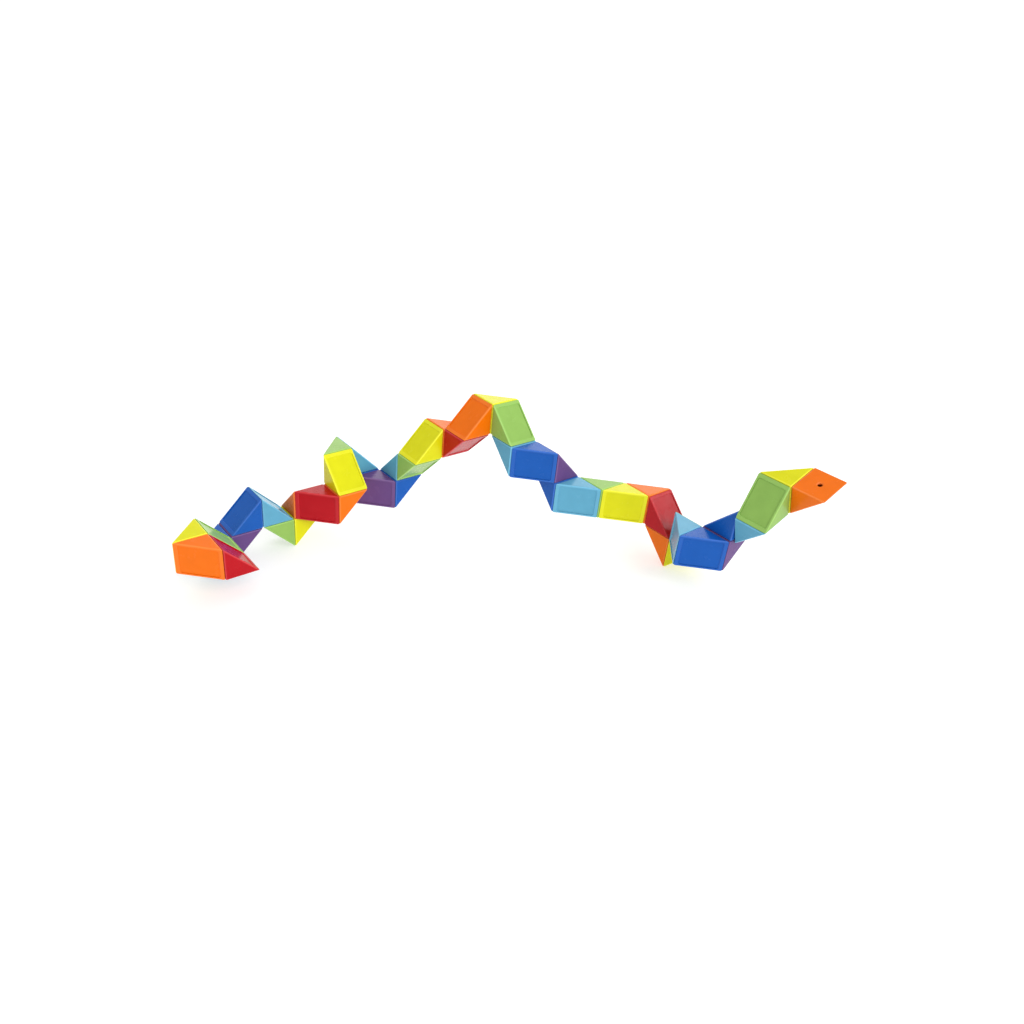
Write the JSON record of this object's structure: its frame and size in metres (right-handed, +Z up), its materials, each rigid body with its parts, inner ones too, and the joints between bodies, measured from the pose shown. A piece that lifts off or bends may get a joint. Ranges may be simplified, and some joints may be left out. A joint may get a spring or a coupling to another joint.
{
  "type": "twisty snake puzzle",
  "caption": "Chain of hollow half-cube plastic wedges in seven colours, joined face to face by sprung swivels and folded into an arch.",
  "frame": {"origin": "on the table, under the middle of the folded chain's box", "axes": "+X along the chain's length towards its last wedge, +Y away from the viewer, +Z up from the table"},
  "size_m": [0.3354, 0.1206, 0.0892],
  "materials": {
    "red": "gloss moulded ABS",
    "orange": "gloss moulded ABS",
    "yellow": "gloss moulded ABS",
    "green": "gloss moulded ABS",
    "light_blue": "gloss moulded ABS",
    "purple": "gloss moulded ABS",
    "blue": "gloss moulded ABS",
    "steel": "zinc plated"
  },
  "bodies": {
    "body_01": {"shell_01": "red", "cover_01": "red"},
    "body_02": {"wedge_02": "orange"},
    "body_03": {"wedge_03": "yellow"},
    "body_04": {"wedge_04": "green"},
    "body_05": {"wedge_05": "light_blue"},
    "body_06": {"wedge_06": "blue"},
    "body_07": {"wedge_07": "purple"},
    "body_08": {"wedge_08": "blue"},
    "body_09": {"wedge_09": "light_blue"},
    "body_10": {"wedge_10": "green"},
    "body_11": {"wedge_11": "yellow"},
    "body_12": {"wedge_12": "orange"},
    "body_13": {"wedge_13": "red"},
    "body_14": {"wedge_14": "orange"},
    "body_15": {"wedge_15": "yellow"},
    "body_16": {"wedge_16": "green"},
    "body_17": {"wedge_17": "light_blue"},
    "body_18": {"wedge_18": "blue"},
    "body_19": {"wedge_19": "purple"},
    "body_20": {"wedge_20": "blue"},
    "body_21": {"wedge_21": "light_blue"},
    "body_22": {"wedge_22": "green"},
    "body_23": {"wedge_23": "yellow"},
    "body_24": {"shell_24": "orange", "cover_24": "orange", "screw_24": "steel", "spring_24": "steel"},
    "body_25": {"wedge_25": "red"},
    "body_26": {"wedge_26": "orange"},
    "body_27": {"wedge_27": "yellow"},
    "body_28": {"wedge_28": "green"},
    "body_29": {"wedge_29": "light_blue"},
    "body_30": {"wedge_30": "blue"},
    "body_31": {"wedge_31": "purple"},
    "body_32": {"wedge_32": "blue"},
    "body_33": {"wedge_33": "light_blue"},
    "body_34": {"wedge_34": "green"},
    "body_35": {"wedge_35": "yellow"},
    "body_36": {"wedge_36": "orange"},
    "body_37": {"shell_37": "red", "cover_37": "red", "screw_37": "steel", "spring_37": "steel"},
    "body_38": {"wedge_38": "orange"},
    "body_39": {"wedge_39": "yellow"},
    "body_40": {"wedge_40": "green"},
    "body_41": {"wedge_41": "light_blue"},
    "body_42": {"wedge_42": "blue"},
    "body_43": {"wedge_43": "purple"},
    "body_44": {"wedge_44": "blue"},
    "body_45": {"wedge_45": "light_blue"},
    "body_46": {"wedge_46": "green"},
    "body_47": {"wedge_47": "yellow"},
    "body_48": {"shell_48": "orange", "cover_48": "orange", "screw_48": "steel", "spring_48": "steel"}
  },
  "joints": [
    {"name": "swivel_01", "type": "hinge", "parent": "body_02", "child": "body_01", "pos_m": [-0.1451, -0.0526, 0.02458], "axis": [0.7071, 0.7071, 0], "range_deg": [-1, 1]},
    {"name": "swivel_02", "type": "hinge", "parent": "body_03", "child": "body_02", "pos_m": [-0.15849, -0.05266, 0.02576], "axis": [-0.7016, 0.7016, 0.124], "continuous": true},
    {"name": "swivel_03", "type": "hinge", "parent": "body_04", "child": "body_03", "pos_m": [-0.15843, -0.03927, 0.02694], "axis": [0.7071, 0.7071, 0], "range_deg": [-1, 1]},
    {"name": "swivel_04", "type": "hinge", "parent": "body_05", "child": "body_04", "pos_m": [-0.15255, -0.03172, 0.01751], "axis": [0.0877, -0.0877, 0.9923], "range_deg": [-90, 90]},
    {"name": "swivel_05", "type": "hinge", "parent": "body_06", "child": "body_05", "pos_m": [-0.16005, -0.02422, 0.00927], "axis": [0.7016, -0.7016, -0.124], "continuous": true},
    {"name": "swivel_06", "type": "hinge", "parent": "body_07", "child": "body_06", "pos_m": [-0.16, -0.01084, 0.01044], "axis": [-0.7071, -0.7071, 0], "continuous": true},
    {"name": "swivel_07", "type": "hinge", "parent": "body_08", "child": "body_07", "pos_m": [-0.15245, -0.00496, 0.01987], "axis": [-0.0877, 0.0877, -0.9923], "range_deg": [-1, 1]},
    {"name": "swivel_08", "type": "hinge", "parent": "body_09", "child": "body_08", "pos_m": [-0.1449, 0.00093, 0.0293], "axis": [-0.7071, -0.7071, 0], "continuous": true},
    {"name": "swivel_09", "type": "hinge", "parent": "body_10", "child": "body_09", "pos_m": [-0.13901, 0.00848, 0.01987], "axis": [-0.0877, 0.0877, -0.9923], "range_deg": [-1, 1]},
    {"name": "swivel_10", "type": "hinge", "parent": "body_11", "child": "body_10", "pos_m": [-0.13313, 0.01603, 0.01044], "axis": [-0.7071, -0.7071, 0], "continuous": true},
    {"name": "swivel_11", "type": "hinge", "parent": "body_12", "child": "body_11", "pos_m": [-0.12558, 0.02191, 0.01987], "axis": [0.0877, -0.0877, 0.9923], "range_deg": [-1, 1]},
    {"name": "swivel_12", "type": "hinge", "parent": "body_13", "child": "body_12", "pos_m": [-0.11808, 0.01442, 0.02812], "axis": [-0.7016, 0.7016, 0.124], "range_deg": [-90, 90]},
    {"name": "swivel_13", "type": "hinge", "parent": "body_14", "child": "body_13", "pos_m": [-0.10469, 0.01447, 0.02694], "axis": [-0.7071, -0.7071, 0], "continuous": true},
    {"name": "swivel_14", "type": "hinge", "parent": "body_15", "child": "body_14", "pos_m": [-0.09714, 0.02035, 0.03637], "axis": [-0.0877, 0.0877, -0.9923], "range_deg": [-170, 50]},
    {"name": "swivel_15", "type": "hinge", "parent": "body_16", "child": "body_15", "pos_m": [-0.10298, 0.02618, 0.04697], "axis": [0.7016, -0.7016, -0.124], "range_deg": [-180, 0]},
    {"name": "swivel_16", "type": "hinge", "parent": "body_17", "child": "body_16", "pos_m": [-0.10292, 0.03957, 0.04815], "axis": [-0.7071, -0.7071, 0], "continuous": true},
    {"name": "swivel_17", "type": "hinge", "parent": "body_18", "child": "body_17", "pos_m": [-0.09704, 0.04712, 0.03872], "axis": [0.0877, -0.0877, 0.9923], "range_deg": [-180, 0]},
    {"name": "swivel_18", "type": "hinge", "parent": "body_19", "child": "body_18", "pos_m": [-0.09121, 0.04129, 0.02812], "axis": [-0.7016, 0.7016, 0.124], "range_deg": [-170, 50]},
    {"name": "swivel_19", "type": "hinge", "parent": "body_20", "child": "body_19", "pos_m": [-0.07782, 0.04134, 0.02694], "axis": [-0.7071, -0.7071, 0], "continuous": true},
    {"name": "swivel_20", "type": "hinge", "parent": "body_21", "child": "body_20", "pos_m": [-0.07027, 0.04722, 0.03637], "axis": [-0.0877, 0.0877, -0.9923], "continuous": true},
    {"name": "swivel_21", "type": "hinge", "parent": "body_22", "child": "body_21", "pos_m": [-0.06277, 0.03972, 0.04462], "axis": [-0.7016, 0.7016, 0.124], "continuous": true},
    {"name": "swivel_22", "type": "hinge", "parent": "body_23", "child": "body_22", "pos_m": [-0.05528, 0.03222, 0.05286], "axis": [-0.0877, 0.0877, -0.9923], "range_deg": [-120, 180]},
    {"name": "swivel_23", "type": "hinge", "parent": "body_24", "child": "body_23", "pos_m": [-0.04772, 0.03811, 0.06229], "axis": [0.7071, 0.7071, 0], "continuous": true},
    {"name": "swivel_24", "type": "hinge", "parent": "body_24", "child": "body_25", "pos_m": [-0.03434, 0.03816, 0.06111], "axis": [-0.7016, 0.7016, 0.124], "continuous": true},
    {"name": "swivel_25", "type": "hinge", "parent": "body_25", "child": "body_26", "pos_m": [-0.02684, 0.03066, 0.06936], "axis": [-0.0877, 0.0877, -0.9923], "range_deg": [-90, 120]},
    {"name": "swivel_26", "type": "hinge", "parent": "body_26", "child": "body_27", "pos_m": [-0.01929, 0.03655, 0.07879], "axis": [-0.7071, -0.7071, 0], "continuous": true},
    {"name": "swivel_27", "type": "hinge", "parent": "body_27", "child": "body_28", "pos_m": [-0.00591, 0.0366, 0.07761], "axis": [0.7016, -0.7016, -0.124], "continuous": true},
    {"name": "swivel_28", "type": "hinge", "parent": "body_28", "child": "body_29", "pos_m": [-0.00008, 0.03077, 0.067], "axis": [-0.0877, 0.0877, -0.9923], "range_deg": [-120, 90]},
    {"name": "swivel_29", "type": "hinge", "parent": "body_29", "child": "body_30", "pos_m": [0.00576, 0.02493, 0.0564], "axis": [-0.7016, 0.7016, 0.124], "continuous": true},
    {"name": "swivel_30", "type": "hinge", "parent": "body_30", "child": "body_31", "pos_m": [0.01914, 0.02499, 0.05522], "axis": [-0.7071, -0.7071, 0], "continuous": true},
    {"name": "swivel_31", "type": "hinge", "parent": "body_31", "child": "body_32", "pos_m": [0.02502, 0.03254, 0.04579], "axis": [0.0877, -0.0877, 0.9923], "range_deg": [-120, 170]},
    {"name": "swivel_32", "type": "hinge", "parent": "body_32", "child": "body_33", "pos_m": [0.03086, 0.0267, 0.03519], "axis": [-0.7016, 0.7016, 0.124], "continuous": true},
    {"name": "swivel_33", "type": "hinge", "parent": "body_33", "child": "body_34", "pos_m": [0.04424, 0.02676, 0.03401], "axis": [-0.7071, -0.7071, 0], "continuous": true},
    {"name": "swivel_34", "type": "hinge", "parent": "body_34", "child": "body_35", "pos_m": [0.05762, 0.02681, 0.03283], "axis": [-0.7016, 0.7016, 0.124], "range_deg": [-360, 360]},
    {"name": "swivel_35", "type": "hinge", "parent": "body_35", "child": "body_36", "pos_m": [0.07101, 0.02686, 0.03165], "axis": [-0.7071, -0.7071, 0], "continuous": true},
    {"name": "swivel_36", "type": "hinge", "parent": "body_36", "child": "body_37", "pos_m": [0.08439, 0.02691, 0.03048], "axis": [0.7016, -0.7016, -0.124], "continuous": true},
    {"name": "swivel_37", "type": "hinge", "parent": "body_37", "child": "body_38", "pos_m": [0.09022, 0.02108, 0.01987], "axis": [0.0877, -0.0877, 0.9923], "range_deg": [-1, 1]},
    {"name": "swivel_38", "type": "hinge", "parent": "body_38", "child": "body_39", "pos_m": [0.09605, 0.01525, 0.00927], "axis": [-0.7016, 0.7016, 0.124], "continuous": true},
    {"name": "swivel_39", "type": "hinge", "parent": "body_39", "child": "body_40", "pos_m": [0.10355, 0.00775, 0.01751], "axis": [-0.0877, 0.0877, -0.9923], "range_deg": [-1, 1]},
    {"name": "swivel_40", "type": "hinge", "parent": "body_40", "child": "body_41", "pos_m": [0.09767, 0.0002, 0.02694], "axis": [0.7071, 0.7071, 0], "range_deg": [-1, 1]},
    {"name": "swivel_41", "type": "hinge", "parent": "body_41", "child": "body_42", "pos_m": [0.09762, -0.01319, 0.02576], "axis": [-0.7016, 0.7016, 0.124], "continuous": true},
    {"name": "swivel_42", "type": "hinge", "parent": "body_42", "child": "body_43", "pos_m": [0.111, -0.01314, 0.02458], "axis": [0.7071, 0.7071, 0], "range_deg": [-1, 1]},
    {"name": "swivel_43", "type": "hinge", "parent": "body_43", "child": "body_44", "pos_m": [0.11855, -0.00725, 0.03401], "axis": [-0.0877, 0.0877, -0.9923], "range_deg": [-6, 1]},
    {"name": "swivel_44", "type": "hinge", "parent": "body_44", "child": "body_45", "pos_m": [0.12605, -0.01475, 0.04226], "axis": [0.7016, -0.7016, -0.124], "continuous": true},
    {"name": "swivel_45", "type": "hinge", "parent": "body_45", "child": "body_46", "pos_m": [0.1312, -0.0245, 0.04994], "axis": [0.1594, 0.3243, -0.9324], "range_deg": [-6, 1]},
    {"name": "swivel_46", "type": "hinge", "parent": "body_46", "child": "body_47", "pos_m": [0.13628, -0.02155, 0.06202], "axis": [0.6945, 0.6345, 0.3394], "range_deg": [-180, 90]},
    {"name": "swivel_47", "type": "hinge", "parent": "body_47", "child": "body_48", "pos_m": [0.14955, -0.02219, 0.06407], "axis": [-0.7016, 0.7016, 0.124], "continuous": true}
  ]
}
